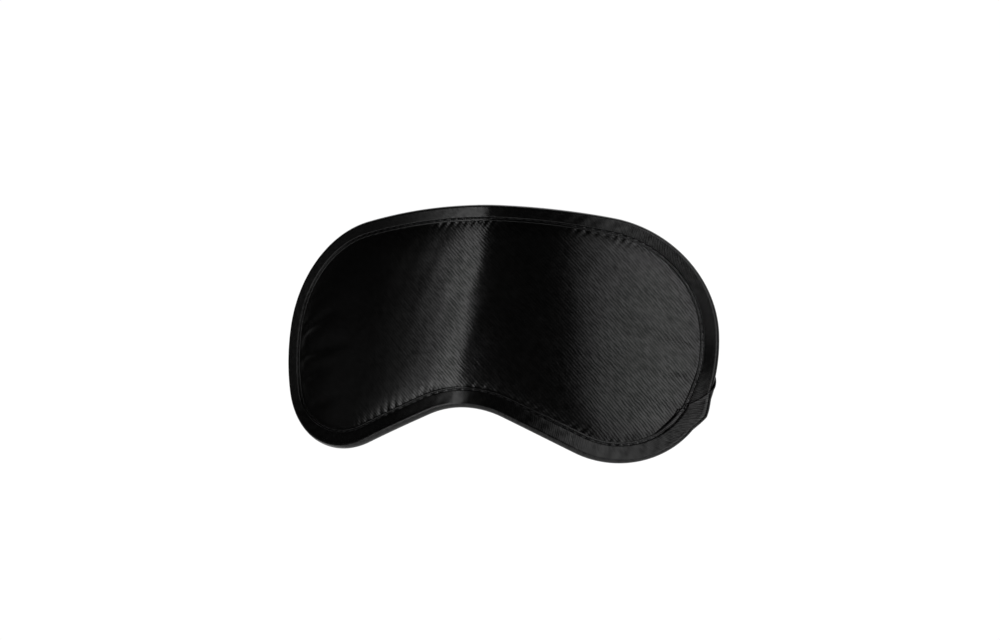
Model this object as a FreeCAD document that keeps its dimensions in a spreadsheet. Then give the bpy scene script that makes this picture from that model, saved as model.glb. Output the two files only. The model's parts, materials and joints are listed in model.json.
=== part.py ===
"""Satin sleep eye mask: two padded halves hinged at the nose bridge, and a two-part elastic strap.

Frame: +Z up, the front face looks along -Y, the wearer's face is on the +Y side. The origin lies on the
fold line of the nose bridge, on the rearmost face of the mask, where the mask rests on the face.
"""
import FreeCAD, Part
import math
import os

import Sketcher
from FreeCAD import Vector

LEFT, RIGHT = -1, 1
SIDE_NAMES = {LEFT: "left", RIGHT: "right"}

# Driving dimensions in millimetres and degrees: alias, value, meaning.
SIZES = (
    ("brow_height", 50.0, "top edge above the origin, at the fold"),
    ("brow_radius", 490.0, "top edge, nearly straight"),
    ("brow_angle", 6.0, "turn of the top edge"),
    ("temple_radius", 45.0, "upper outer corner"),
    ("temple_angle", 80.0, "turn of the upper outer corner"),
    ("side_radius", 78.0, "outer edge"),
    ("side_angle", 22.0, "turn of the outer edge"),
    ("lobe_radius", 34.0, "rounded lobe over the cheek"),
    ("lobe_angle", 95.0, "turn of the lobe"),
    ("nose_radius", 38.0, "arch over the nose"),
    ("bend_radius", 115.0, "rear face across the bridge, in plan"),
    ("bend_angle", 25.0, "sweep of each half away from the bridge"),
    ("side_reach", 65.0, "straight part of each blank, in plan"),
    ("blank_height", 130.0, "blank that the outline is cut from"),
    ("cut_depth", 160.0, "depth of the cuts through a blank"),
    ("tape_thick", 0.7, "binding tape"),
    ("binding_width", 6.0, "binding seen from the front"),
    ("lining_thick", 0.4, "lining on the face side"),
    ("foam_thick", 4.0, "foam pad"),
    ("satin_thick", 0.4, "front panel"),
    ("panel_inset", 0.9, "edge of the layers inside the binding"),
    ("thread_inset", 5.0, "stitch line from the outer edge"),
    ("thread_width", 0.5, "stitch line"),
    ("thread_rise", 0.2, "stitch line above the tape"),
    ("fold_relief", 13.5, "bevel at the fold that lets the halves open out"),
    ("fold_gap", 0.15, "clearance of each half from the fold line"),
    ("lap_across", 95.0, "folded tape end, outer corner from the fold line"),
    ("lap_height", -10.5, "folded tape end, outer corner above the origin"),
    ("lap_slope", 52.0, "folded tape end, slope of the fold across the tape"),
    ("lap_reach", 20.0, "folded tape end, length of the sloping fold"),
    ("lap_run", 60.0, "folded tape end, slope of the tape below it"),
    ("lap_length", 16.0, "folded tape end, length along the tape"),
    ("strap_width", 12.0, "elastic strap"),
    ("strap_thick", 1.0, "elastic strap"),
    ("strap_height", -5.0, "middle of the strap above the origin"),
    ("strap_gap", 1.0, "clearance of each strap piece from its hinge line"),
    ("strap_bow", 20.0, "strap direction at its ends, off its chord"),
    ("hinge_reach", 39.5, "strap hinge along the straight part, from its start"),
    ("hinge_rise", 0.6, "strap hinge behind the rear face"),
    ("tail_length", 5.5, "sewn strap end"),
    ("tack_length", 2.4, "bar tack over the sewn strap end"),
    ("tack_thick", 0.3, "bar tack"),
)


def make_sheet(doc):
    """Fill the spreadsheet and return it with a dictionary of its values."""
    sheet = doc.addObject("Spreadsheet::Sheet", "sizes")
    for row, (alias, value, meaning) in enumerate(SIZES, start=1):
        sheet.set(f"A{row}", meaning)
        sheet.set(f"B{row}", str(value))
        sheet.setAlias(f"B{row}", alias)
    doc.recompute()
    return sheet, {alias: float(sheet.get(alias)) for alias, _, _ in SIZES}


# ---------------------------------------------------------------- outline and plan, as plain geometry


def across(heading):
    """Unit vector to the right of a heading given in degrees."""
    angle = math.radians(heading)
    return Vector(math.sin(angle), -math.cos(angle), 0)


def arc(centre, radius, start, end):
    """Arc through three points of a circle, whose points lie along the directions start to end."""
    middle = (start + end) / 2
    points = [centre + across(heading) * radius for heading in (start, middle, end)]
    return Part.Arc(*points)


def half_outline(size, inset):
    """Edge of the right half, from the top of the fold round to the nose arch, moved in by inset.

    Returns the sketch geometry and the name of the sheet cell that drives each arc.
    """
    geometry, drivers = [], []
    heading = 0.0
    corner = Vector(0, size["brow_height"], 0)
    for name in ("brow", "temple", "side", "lobe"):
        radius, turn = size[f"{name}_radius"], size[f"{name}_angle"]
        centre = corner + across(heading) * radius
        geometry.append(arc(centre, inset - radius, heading, heading - turn))
        drivers.append(f"sizes.{name}_radius - {inset}")
        heading -= turn
        corner = centre - across(heading) * radius
    inward = across(heading)
    slope = math.radians(heading)
    arch_start_x = size["nose_radius"] * inward.x
    cheek = Vector(math.cos(slope), math.sin(slope), 0) * ((arch_start_x - corner.x) / math.cos(slope))
    geometry.append(Part.LineSegment(corner + inward * inset, corner + cheek + inward * inset))
    drivers.append(None)
    centre = corner + cheek - inward * size["nose_radius"]
    geometry.append(arc(centre, size["nose_radius"] + inset, heading, -180.0))
    drivers.append(f"sizes.nose_radius + {inset}")
    return geometry, drivers


def closed_outline(size, inset):
    """Half outline closed past the fold line, so that a cut through it leaves the whole half."""
    geometry, drivers = half_outline(size, inset)
    past_fold = Vector(-10, 0, 0)
    top, arch = Vector(0, size["brow_height"] - inset, 0), geometry[-1].EndPoint
    geometry.append(Part.LineSegment(arch, arch + past_fold))
    geometry.append(Part.LineSegment(arch + past_fold, top + past_fold))
    geometry.append(Part.LineSegment(top + past_fold, top))
    return geometry, drivers + [None] * 3


def polygon(corners):
    """Line segments round a closed polygon."""
    return [Part.LineSegment(start, end) for start, end in zip(corners, corners[1:] + corners[:1])]


def frame_round(reach):
    """Square round the origin, wide enough to hold any outline."""
    return polygon([Vector(x, y, 0) * reach for x, y in ((-1, -1), (1, -1), (1, 1), (-1, 1))])


def plan_point(size, along, rise):
    """Point of the right half in plan, along the straight part, rise behind the rear face."""
    turn = math.radians(size["bend_angle"])
    centre = Vector(0, size["bend_radius"], 0)
    outward = Vector(math.sin(turn), -math.cos(turn), 0)
    onward = Vector(math.cos(turn), math.sin(turn), 0)
    return centre + outward * (size["bend_radius"] - rise) + onward * along


def fold_point(size, depth):
    """Point of the bevelled fold face of the right half, at a depth in front of the rear face."""
    bevel = math.radians(size["fold_relief"])
    radius = size["bend_radius"] + depth
    reach = size["bend_radius"] * math.cos(bevel)
    along = math.sqrt(radius**2 - (size["bend_radius"] * math.sin(bevel)) ** 2) - reach
    return Vector(along * math.sin(bevel) + size["fold_gap"], -along * math.cos(bevel), 0)


def blank_plan(size, near, far):
    """Plan of a curved blank of the right half, between two depths in front of the rear face.

    Returns the sketch geometry and the name of the sheet cell that drives each arc.
    """
    centre = Vector(0, size["bend_radius"], 0)
    half_turn = size["bend_angle"] / 2
    geometry, drivers, starts, finishes = [], [], [], []
    for depth in (near, far):
        radius = size["bend_radius"] + depth
        starts.append(on_circle(centre, radius, fold_point(size, depth)))
        finishes.append(plan_point(size, size["side_reach"], -depth))
        middle = centre + across(half_turn) * radius
        bend_end = plan_point(size, 0, -depth)
        geometry.append(Part.Arc(starts[-1], middle, bend_end))
        geometry.append(Part.LineSegment(bend_end, finishes[-1]))
        drivers += [f"sizes.bend_radius + {depth}", None]
    geometry.append(Part.LineSegment(*starts))
    geometry.append(Part.LineSegment(*finishes))
    return geometry, drivers


def on_circle(centre, radius, point):
    """The point of a circle nearest to a point."""
    return centre + (point - centre).normalize() * radius


# ---------------------------------------------------------------- sketches and bodies


def mirrored(geometry, side):
    """The geometry itself for the right half, or its mirror image in the fold line for the left half."""
    result = [item.copy() for item in geometry]
    if side == LEFT:
        for item in result:
            item.mirror(Vector(0, 0, 0), Vector(0, 1, 0))
    return result


def origin_plane(body, role):
    """The body's own origin plane of a role such as XY_Plane."""
    return next(item for item in body.Origin.OriginFeatures if item.Role == role)


def add_sketch(body, name, plane, geometry, drivers=()):
    """Sketch on one of the body's origin planes, with its arcs bound to the sheet by their radius."""
    sketch = body.newObject("Sketcher::SketchObject", name)
    sketch.AttachmentSupport = (origin_plane(body, plane), [""])
    sketch.MapMode = "FlatFace"
    sketch.addGeometry(geometry, False)
    for index, driver in enumerate(drivers):
        if driver:
            radius = sketch.Geometry[index].Radius
            constraint = sketch.addConstraint(Sketcher.Constraint("Radius", index, radius))
            sketch.setExpression(f"Constraints[{constraint}]", driver)
    return sketch


def pad(body, sketch, length):
    """Symmetric pad whose length follows the sheet."""
    feature = body.newObject("PartDesign::Pad", f"{body.Name}_blank")
    feature.Profile = sketch
    feature.SideType = "Symmetric"
    feature.setExpression("Length", length)
    body.Tip = feature


def pocket(body, sketch, name):
    """Symmetric cut through the body; it must take material away."""
    before = body.Shape.Volume
    feature = body.newObject("PartDesign::Pocket", name)
    feature.Profile = sketch
    feature.SideType = "Symmetric"
    feature.setExpression("Length", "sizes.cut_depth")
    body.Tip = feature
    body.Document.recompute()
    if body.Shape.Volume >= before - 1e-3:
        raise RuntimeError(f"{name} cuts nothing")


def layer(doc, size, name, side, near, far, inset, window=None):
    """One curved layer of a half, cut to the outline moved in by inset, with an optional window."""
    body = doc.addObject("PartDesign::Body", name)
    body.Label = name
    plan, drivers = blank_plan(size, near, far)
    blank = add_sketch(body, f"{name}_plan", "XY_Plane", mirrored(plan, side), drivers)
    pad(body, blank, "sizes.blank_height")
    doc.recompute()
    geometry, drivers = closed_outline(size, inset)
    outside = mirrored(geometry + frame_round(size["blank_height"]), side)
    pocket(body, add_sketch(body, f"{name}_outline", "XZ_Plane", outside, drivers), f"{name}_trim")
    if window is not None:
        geometry, drivers = closed_outline(size, window)
        opening = mirrored(geometry, side)
        pocket(body, add_sketch(body, f"{name}_window", "XZ_Plane", opening, drivers), f"{name}_opening")
    return body


def cut(doc, name, base, *tools):
    """Part::Cut of the tools from the base, in turn; the last one carries the name."""
    shape = base
    for index, tool in enumerate(tools, start=1):
        before = shape.Shape.Volume
        result = doc.addObject("Part::Cut", f"{name}_cut{index}")
        result.Base, result.Tool = shape, tool
        doc.recompute()
        if result.Shape.Volume >= before - 1e-3:
            raise RuntimeError(f"{name} cut {index} takes nothing away")
        shape = result
    shape.Label = name
    return shape


def plate(doc, name, side, corners, bottom, height):
    """Upright plate on a closed plan of corner points, its height read from the sheet."""
    body = doc.addObject("PartDesign::Body", name)
    body.Label = name
    pad(body, add_sketch(body, f"{name}_plan", "XY_Plane", mirrored(polygon(corners), side)), height)
    body.setExpression("Placement.Base.z", bottom)
    doc.recompute()
    return body


def side_plate(doc, size, name, side, start, length, low, high, height):
    """Plate that lies on the straight part of a half: from start outward, between two rises."""
    corners = [
        plan_point(size, start, low),
        plan_point(size, start + length, low),
        plan_point(size, start + length, high),
        plan_point(size, start, high),
    ]
    return plate(doc, name, side, corners, "sizes.strap_height", height)


# ---------------------------------------------------------------- the pieces


def depths(size):
    """Depth of each layer boundary in front of the rear face."""
    lining = size["tape_thick"]
    foam = lining + size["lining_thick"]
    satin = foam + size["foam_thick"]
    front = satin + size["satin_thick"]
    return {"lining": lining, "foam": foam, "satin": satin, "front": front, "tape": front + size["tape_thick"]}


def make_strap_end(doc, size, side):
    """Strap end sewn under the rear lip of the binding, and the bar tack that holds it."""
    name = SIDE_NAMES[side]
    start = size["hinge_reach"] + size["strap_gap"]
    high = size["strap_thick"] - size["tape_thick"]
    low = -size["tape_thick"]
    tail = side_plate(
        doc, size, f"strap_end_{name}", side, start, size["tail_length"], low, high, "sizes.strap_width"
    )
    tack_start = start + size["tail_length"] - size["tack_length"] - 1
    tack = side_plate(
        doc,
        size,
        f"strap_tack_{name}",
        side,
        tack_start,
        size["tack_length"],
        high,
        high + size["tack_thick"],
        "sizes.strap_width - 1",
    )
    return tail, tack


def make_binding(doc, size, side, depth, tail):
    """Tape folded round the edge of one half: a ring with the layers and the strap end cut out of it."""
    name = f"binding_{SIDE_NAMES[side]}"
    ring = layer(doc, size, f"{name}_ring", side, 0, depth["tape"], 0, size["binding_width"])
    core = layer(doc, size, f"{name}_core", side, depth["lining"], depth["front"], size["panel_inset"])
    return cut(doc, name, ring, core, tail)


def make_lap(doc, size, depth):
    """Folded end of the tape, lying slantwise over the binding on the lobe of the right half."""
    name = "binding_lap"
    near, far = depth["tape"], depth["tape"] + size["tape_thick"]
    face = layer(doc, size, f"{name}_ring", RIGHT, near, far, 0, size["binding_width"])
    corner = Vector(size["lap_across"], size["lap_height"], 0)
    slope, run = math.radians(size["lap_slope"]), math.radians(size["lap_run"])
    fold = Vector(-math.cos(slope), -math.sin(slope), 0) * size["lap_reach"]
    onward = Vector(-math.cos(run), -math.sin(run), 0) * size["lap_length"]
    body = doc.addObject("PartDesign::Body", f"{name}_patch")
    patch = polygon([corner, corner + fold, corner + fold + onward, corner + onward])
    pad(body, add_sketch(body, f"{name}_patch_plan", "XZ_Plane", patch), "sizes.cut_depth")
    doc.recompute()
    lap = doc.addObject("Part::Common", name)
    lap.Base, lap.Tool = face, body
    lap.Label = name
    doc.recompute()
    return lap


def strap_arc(size):
    """Arc of the right strap half in plan, from its hinge to the middle of the loop."""
    hinge = plan_point(size, size["hinge_reach"], size["hinge_rise"])
    chord = Vector(-hinge.x, hinge.y, 0)
    bow = math.radians(size["strap_bow"])
    radius = chord.Length / (2 * math.sin(bow))
    middle = hinge + chord / 2
    inward = Vector(-chord.y, chord.x, 0).normalize()
    centre = middle + inward * (radius * math.cos(bow))
    return hinge, chord, centre, radius


def make_strap(doc, size, side):
    """One half of the elastic strap, bowed from its sewn end to the middle of the loop."""
    name = f"elastic_strap_{SIDE_NAMES[side]}"
    hinge, chord, centre, radius = strap_arc(size)
    first = math.atan2(hinge.y - centre.y, hinge.x - centre.x)
    turn = math.radians(2 * size["strap_bow"])
    gap = size["strap_gap"] / radius
    half = size["strap_thick"] / 2
    edges, ends = [], []
    for reach in (radius - half, radius + half):
        points = [
            centre + Vector(math.cos(first + a), math.sin(first + a), 0) * reach
            for a in (gap, turn / 2, turn - gap)
        ]
        edges.append(Part.Arc(*points))
        ends.append((points[0], points[2]))
    edges.append(Part.LineSegment(ends[0][0], ends[1][0]))
    edges.append(Part.LineSegment(ends[0][1], ends[1][1]))
    body = doc.addObject("PartDesign::Body", name)
    body.Label = name
    pad(body, add_sketch(body, f"{name}_plan", "XY_Plane", mirrored(edges, side)), "sizes.strap_width")
    body.setExpression("Placement.Base.z", "sizes.strap_height")
    doc.recompute()
    return body


def make_half(doc, size, side):
    """All pieces of one half of the mask."""
    name = SIDE_NAMES[side]
    depth = depths(size)
    inset = size["panel_inset"]
    thread_top = depth["tape"] + size["thread_rise"]
    thread_in = size["thread_inset"] + size["thread_width"]
    tail, tack = make_strap_end(doc, size, side)
    return [
        layer(doc, size, f"lining_{name}", side, depth["lining"], depth["foam"], inset),
        layer(doc, size, f"foam_pad_{name}", side, depth["foam"], depth["satin"], inset),
        layer(doc, size, f"front_panel_{name}", side, depth["satin"], depth["front"], inset),
        make_binding(doc, size, side, depth, tail),
        layer(doc, size, f"seam_thread_{name}", side, depth["tape"], thread_top, size["thread_inset"], thread_in),
        tail,
        tack,
        make_strap(doc, size, side),
    ]


def check(doc, pieces):
    """Stop if any object failed or any piece has no valid solid."""
    for item in doc.Objects:
        if "Invalid" in item.State or "Error" in item.State:
            raise RuntimeError(f"{item.Name} failed: {item.State}")
    for piece in pieces:
        shape = piece.Shape
        if shape.isNull() or not shape.isValid() or not shape.Solids:
            raise RuntimeError(f"{piece.Label} has no valid solid")


def main():
    """Build the document and write each piece as a STEP file."""
    doc = FreeCAD.newDocument("sleep_mask")
    _, size = make_sheet(doc)
    pieces = make_half(doc, size, LEFT) + make_half(doc, size, RIGHT)
    pieces.append(make_lap(doc, size, depths(size)))
    doc.recompute()
    check(doc, pieces)
    os.makedirs("parts", exist_ok=True)
    for piece in pieces:
        piece.Shape.exportStep(f"parts/{piece.Label}.step")
        box = piece.Shape.BoundBox
        print(
            f"{piece.Label:22s} {piece.Shape.Volume:9.1f} mm3  {len(piece.Shape.Solids)} solid"
            f"  x {box.XMin:7.2f} {box.XMax:7.2f}  y {box.YMin:7.2f} {box.YMax:7.2f}"
            f"  z {box.ZMin:7.2f} {box.ZMax:7.2f}"
        )
    hinge = strap_arc(size)[0]
    print(f"strap hinge at x {hinge.x:.3f} y {hinge.y:.3f}, middle of the loop at y {2 * hinge.y:.3f}")


main()
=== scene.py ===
"""Satin sleep eye mask dressed over its CAD frame: panel, padding, lining, bias binding and strap."""
import json
import logging
import math
from dataclasses import dataclass, field
from enum import Enum
from functools import partial
from typing import Callable, Sequence

import bpy
import numpy as np
from mathutils import Matrix, Vector

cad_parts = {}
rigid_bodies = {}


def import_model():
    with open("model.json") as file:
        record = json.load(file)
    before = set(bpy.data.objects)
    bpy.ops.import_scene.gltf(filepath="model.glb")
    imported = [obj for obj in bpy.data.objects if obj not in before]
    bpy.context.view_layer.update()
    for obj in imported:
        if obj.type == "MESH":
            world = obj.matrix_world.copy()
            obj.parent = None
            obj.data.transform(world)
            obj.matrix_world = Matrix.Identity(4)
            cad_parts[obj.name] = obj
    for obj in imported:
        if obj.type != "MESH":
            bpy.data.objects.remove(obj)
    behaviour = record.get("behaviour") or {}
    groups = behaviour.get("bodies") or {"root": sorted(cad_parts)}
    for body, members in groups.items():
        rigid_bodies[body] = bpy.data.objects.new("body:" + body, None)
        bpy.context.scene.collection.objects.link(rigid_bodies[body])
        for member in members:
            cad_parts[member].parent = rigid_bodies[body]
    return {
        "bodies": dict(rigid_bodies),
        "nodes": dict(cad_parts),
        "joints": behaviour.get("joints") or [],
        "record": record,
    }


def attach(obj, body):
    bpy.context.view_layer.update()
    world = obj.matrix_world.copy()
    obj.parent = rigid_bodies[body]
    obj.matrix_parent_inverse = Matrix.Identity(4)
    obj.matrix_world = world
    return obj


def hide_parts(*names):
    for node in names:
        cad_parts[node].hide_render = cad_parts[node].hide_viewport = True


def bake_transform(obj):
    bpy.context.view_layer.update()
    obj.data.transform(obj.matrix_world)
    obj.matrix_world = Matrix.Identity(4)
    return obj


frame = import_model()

LOG = logging.getLogger("sleep_mask")
MM = 0.001
STITCH_PITCH = 3.4 * MM
STRAP_HEIGHT = -5.0 * MM
STRAP_WIDTH = 12.0 * MM
CLOTH_TRIM = 2.6 * MM
CLOTH_THICKNESS = 0.3 * MM
BAND = 0.32  # metres between the bands of a wave texture of scale 1


class Side(Enum):
    """The two halves of the mask, by the sign of X."""

    LEFT = -1
    RIGHT = 1


# ---------------------------------------------------------------- small helpers


def linear(code: str) -> tuple[float, float, float, float]:
    """Turn an sRGB hex colour into linear RGBA.

    Args:
        code: colour such as "#0c0c0d".

    Returns:
        Linear red, green and blue, and an alpha of 1.
    """
    values = [int(code[i : i + 2], 16) / 255 for i in (1, 3, 5)]
    red, green, blue = [v / 12.92 if v <= 0.04045 else ((v + 0.055) / 1.055) ** 2.4 for v in values]
    return red, green, blue, 1.0


def add(
    tree: bpy.types.NodeTree, kind: str, inputs: dict | None = None, **settings: object
) -> bpy.types.Node:
    """Add a node, set its properties, and fill or link its inputs.

    Args:
        tree: node tree to add to.
        kind: the node's bl_idname.
        inputs: input name or index, to a value or to an output socket to link from.
        **settings: properties of the node.

    Returns:
        The new node.
    """
    node = tree.nodes.new(kind)
    for name, value in settings.items():
        setattr(node, name, value)
    for key, value in (inputs or {}).items():
        if isinstance(value, bpy.types.NodeSocket):
            tree.links.new(value, node.inputs[key])
        else:
            node.inputs[key].default_value = value
    return node


def smooth(low: float, high: float, value: np.ndarray) -> np.ndarray:
    """Smooth step from 0 at low to 1 at high."""
    share = np.clip((value - low) / (high - low), 0, 1)
    return share * share * (3 - 2 * share)


def hump(value: np.ndarray, centre: float, width: float | np.ndarray) -> np.ndarray:
    """Bell curve of height 1 about a centre."""
    return np.exp(-(((value - centre) / width) ** 2))


def in_scene(name: str, data: bpy.types.ID) -> bpy.types.Object:
    """Make an object of a mesh, light or camera and link it to the scene.

    Args:
        name: name of the object.
        data: its mesh, light or camera.

    Returns:
        The new object.
    """
    holder = bpy.data.objects.new(name, data)
    bpy.context.scene.collection.objects.link(holder)
    return holder


def distance_along(points: np.ndarray) -> np.ndarray:
    """Distance from the first point along a path to each of its points."""
    return np.concatenate([[0], np.cumsum(np.linalg.norm(np.diff(points, axis=0), axis=1))])


def at_distance(even: np.ndarray, run: np.ndarray, path: np.ndarray) -> np.ndarray:
    """Plane points at given distances along a path, where run is the distance to each of its own."""
    return np.stack([np.interp(even, run, path[:, k]) for k in (0, 1)], axis=-1)


def to_right(along: np.ndarray) -> np.ndarray:
    """Unit vectors a quarter turn to the right of plane vectors."""
    along = along / np.linalg.norm(along, axis=1)[:, None]
    return np.stack([along[:, 1], -along[:, 0]], axis=1)


def mesh_object(name: str, points: np.ndarray, faces: Sequence[Sequence[int]]) -> bpy.types.Object:
    """Make a smooth-shaded mesh object at the origin.

    Args:
        name: name of the object and its mesh.
        points: vertex positions in metres.
        faces: vertex indices of each face.

    Returns:
        The new object, linked to the scene.
    """
    mesh = bpy.data.meshes.new(name)
    mesh.from_pydata([tuple(map(float, p)) for p in points], [], [tuple(map(int, f)) for f in faces])
    mesh.validate()
    mesh.shade_smooth()
    return in_scene(name, mesh)


def lay_uv(piece: bpy.types.Object, places: np.ndarray) -> None:
    """Give a piece a UV map in metres, from one place per vertex.

    Args:
        piece: the piece.
        places: place on the cloth of each vertex, in metres.
    """
    layer = piece.data.uv_layers.new(name="cloth")
    index = np.empty(len(piece.data.loops), dtype=np.int32)
    piece.data.loops.foreach_get("vertex_index", index)
    layer.data.foreach_set("uv", places[index].astype(np.float32).ravel())


def grid_faces(
    rows: int, columns: int, closed_rows: bool = False, closed_columns: bool = False
) -> np.ndarray:
    """Quads of a grid whose vertices are numbered row by row.

    Args:
        rows: number of vertex rows.
        columns: number of vertices in a row.
        closed_rows: join the last row to the first.
        closed_columns: join the last column to the first.

    Returns:
        One row of four indices per quad.
    """
    r = np.arange(rows if closed_rows else rows - 1)
    c = np.arange(columns if closed_columns else columns - 1)
    r, c = [a.ravel() for a in np.meshgrid(r, c, indexing="ij")]
    r2, c2 = (r + 1) % rows, (c + 1) % columns
    return np.stack([r * columns + c, r2 * columns + c, r2 * columns + c2, r * columns + c2], axis=1)


# ---------------------------------------------------------------- shape of the mask


@dataclass(frozen=True)
class Outline:
    """Edge of the mask from the front: tangent arcs, alike on both sides, in metres and degrees."""

    brow_height: float = 50.0 * MM
    arcs: tuple[tuple[float, float], ...] = (
        (490.0 * MM, 6.0),
        (45.0 * MM, 80.0),
        (78.0 * MM, 22.0),
        (34.0 * MM, 95.0),
    )
    nose_radius: float = 38.0 * MM
    spacing: float = 0.6 * MM

    def half(self) -> np.ndarray:
        """Points of the right half, evenly spaced, from the top of the fold round to the nose arch.

        Returns:
            Points evenly spaced from the top of the fold round to the nose arch.
        """
        stretches = []
        heading, place = 0.0, np.array([0.0, self.brow_height])
        for radius, turn in self.arcs:
            centre = place + radius * self._across(heading)
            turns = np.linspace(0, turn, 200)
            stretches.append(centre - radius * self._across(heading - turns))
            heading -= turn
            place = stretches[-1][-1]
        arch_start = self.nose_radius * math.sin(math.radians(heading))
        onward = np.array([math.cos(math.radians(heading)), math.sin(math.radians(heading))])
        cheek = (arch_start - place[0]) / onward[0]
        stretches.append(place + np.linspace(0, cheek, 100)[:, None] * onward)
        place = stretches[-1][-1]
        centre = place - self.nose_radius * self._across(heading)
        stretches.append(centre + self.nose_radius * self._across(np.linspace(heading, -180, 100)))
        path = np.concatenate([s[1:] if i else s for i, s in enumerate(stretches)])
        return self._resample(path)

    def loop(self) -> tuple[np.ndarray, np.ndarray]:
        """Closed edge, clockwise from the top of the fold.

        Returns:
            Points, and the inward unit normal at each.
        """
        right = self.half()
        left = (right * (-1, 1))[-2:0:-1]
        points = np.concatenate([right, left])
        return points, to_right(np.roll(points, -1, axis=0) - np.roll(points, 1, axis=0))

    @staticmethod
    def _across(heading: float | np.ndarray) -> np.ndarray:
        """Unit vector to the right of a heading in degrees."""
        angle = np.radians(heading)
        return np.stack([np.sin(angle), -np.cos(angle)], axis=-1)

    def _resample(self, path: np.ndarray) -> np.ndarray:
        """Points at even distances along a path.

        Args:
            path: points in order.

        Returns:
            Evenly spaced points from the first to the last.
        """
        run = distance_along(path)
        count = int(round(run[-1] / self.spacing))
        return at_distance(np.linspace(0, run[-1], count + 1), run, path)


@dataclass
class MaskForm:
    """Bent middle surface of the mask, and places measured in from its edge."""

    outline: Outline = field(default_factory=Outline)
    thickness: float = 6.2 * MM
    bend_run: float = 52.0 * MM
    bend_angle: float = 25.0
    bend_easing: float = 0.06
    easing_run: float = 12.0 * MM
    crease_angle: float = 3.5
    crease_run: float = 3.0 * MM
    crease_middle: tuple[float, float] = (1.0 * MM, 9.0 * MM)
    crease_sway: float = 3.1 * MM
    crease_length: float = 14.0 * MM
    wider_below: float = 1.4 * MM
    wider_right: float = 0.5 * MM
    # Stretches over which the extra width comes and goes, the first in height and two across.
    lower_edge: tuple[float, float] = (-26 * MM, -6 * MM)
    lower_left: tuple[float, float] = (-86 * MM, -64 * MM)
    upper_right: tuple[float, float] = (20 * MM, 60 * MM)

    def __post_init__(self) -> None:
        """Work out the plan curve and the edge once."""
        run = np.linspace(0, 140 * MM, 2801)
        ramp = np.minimum(run / self.bend_run, 1.0)
        easing = self.bend_easing * hump(run, self.bend_run, self.easing_run)
        turn = np.radians(self.bend_angle - self.crease_angle) * (ramp - easing)
        step = run[1] - run[0]
        x = np.concatenate([[0], np.cumsum(np.cos(turn[:-1]) * step)])
        y = np.concatenate([[0], np.cumsum(np.sin(turn[:-1]) * step)])
        # The crease pushes the bridge forward, so that the lobes stay where the frame has them.
        arc_turn = np.radians(self.bend_angle) * ramp
        crease = math.radians(self.crease_angle) * (x[-1] - self.crease_run * math.log(2))
        drift = y[-1] + crease - np.sum(np.sin(arc_turn[:-1]) * step)
        self.run, self.plan_x, self.plan_turn = run, x, turn
        self.plan_y = y - self.thickness / 2 - drift
        self.edge, self.edge_in = self.outline.loop()
        self.perimeter = len(self.edge) * self.outline.spacing
        x, z = self.edge.T
        above = smooth(*self.lower_edge, z)
        below = self.wider_below * (1 - above) * smooth(*self.lower_left, x)
        self.extra_tape = below + self.wider_right * above * smooth(*self.upper_right, x)

    def crease(self, x: np.ndarray, z: np.ndarray) -> tuple[np.ndarray, np.ndarray]:
        """Soft crease down the bridge, a little slanted.

        Args:
            x: place across.
            z: height.

        Returns:
            Turn of the surface and its distance back, at each place.
        """
        middle_x, middle_z = self.crease_middle
        middle = middle_x + self.crease_sway * np.tanh((z - middle_z) / self.crease_length)
        away = (x - middle) / self.crease_run
        angle = math.radians(self.crease_angle)
        back = angle * self.crease_run * (np.logaddexp(away, -away) - math.log(2))
        return angle * np.tanh(away), back

    def to_space(self, x: np.ndarray, z: np.ndarray, rise: np.ndarray) -> np.ndarray:
        """Points in the frame.

        Args:
            x: place across, as seen from the front.
            z: height.
            rise: distance in front of the middle surface.

        Returns:
            One row of X, Y, Z per point.
        """
        crease_turn, crease_back = self.crease(x, z)
        turn = np.interp(np.abs(x), self.plan_x, self.plan_turn) * np.sign(x) + crease_turn
        y = np.interp(np.abs(x), self.plan_x, self.plan_y) + crease_back
        return np.stack([x + rise * np.sin(turn), y - rise * np.cos(turn), z], axis=-1)

    def cloth_run(self, x: np.ndarray) -> np.ndarray:
        """Distance from the fold measured along the bent cloth, signed as x."""
        return np.sign(x) * np.interp(np.abs(x), self.plan_x, self.run)

    def at_run(self, run: np.ndarray) -> np.ndarray:
        """Place across, for a distance along the bent cloth."""
        return np.sign(run) * np.interp(np.abs(run), self.run, self.plan_x)

    def wave(self, run: np.ndarray, length: float) -> np.ndarray:
        """Phase of a wave round the edge, of about this length, that closes after one turn."""
        return 2 * math.pi * round(self.perimeter / length) * run / self.perimeter

    def stitch_phase(self, run: np.ndarray) -> np.ndarray:
        """Phase of the stitches round the edge, uneven as hand-fed work does."""
        drift = 0.9 * np.sin(self.wave(run, 82 * MM)) + 0.5 * np.sin(self.wave(run, 32 * MM))
        return self.wave(run, STITCH_PITCH) + drift

    def inset(
        self, x: np.ndarray, z: np.ndarray, batch: int = 4000
    ) -> tuple[np.ndarray, np.ndarray]:
        """Measure how far places lie inside the edge.

        Args:
            x: places across, as a flat array.
            z: heights, as a flat array.
            batch: number of places compared with the edge at once.

        Returns:
            Distance inside the edge, and index of the nearest edge point, for each place.
        """
        distance = np.empty(len(x))
        nearest = np.empty(len(x), dtype=int)
        for start in range(0, len(x), batch):
            part = slice(start, start + batch)
            dx = x[part, None] - self.edge[None, :, 0]
            dz = z[part, None] - self.edge[None, :, 1]
            nearest[part] = np.argmin(dx * dx + dz * dz, axis=1)
            index = nearest[part]
            dx, dz = x[part] - self.edge[index, 0], z[part] - self.edge[index, 1]
            inward = self.edge_in[index]
            sign = np.sign(dx * inward[:, 0] + dz * inward[:, 1])
            distance[part] = np.hypot(dx, dz) * sign
        return distance, nearest


# ---------------------------------------------------------------- finishes


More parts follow.
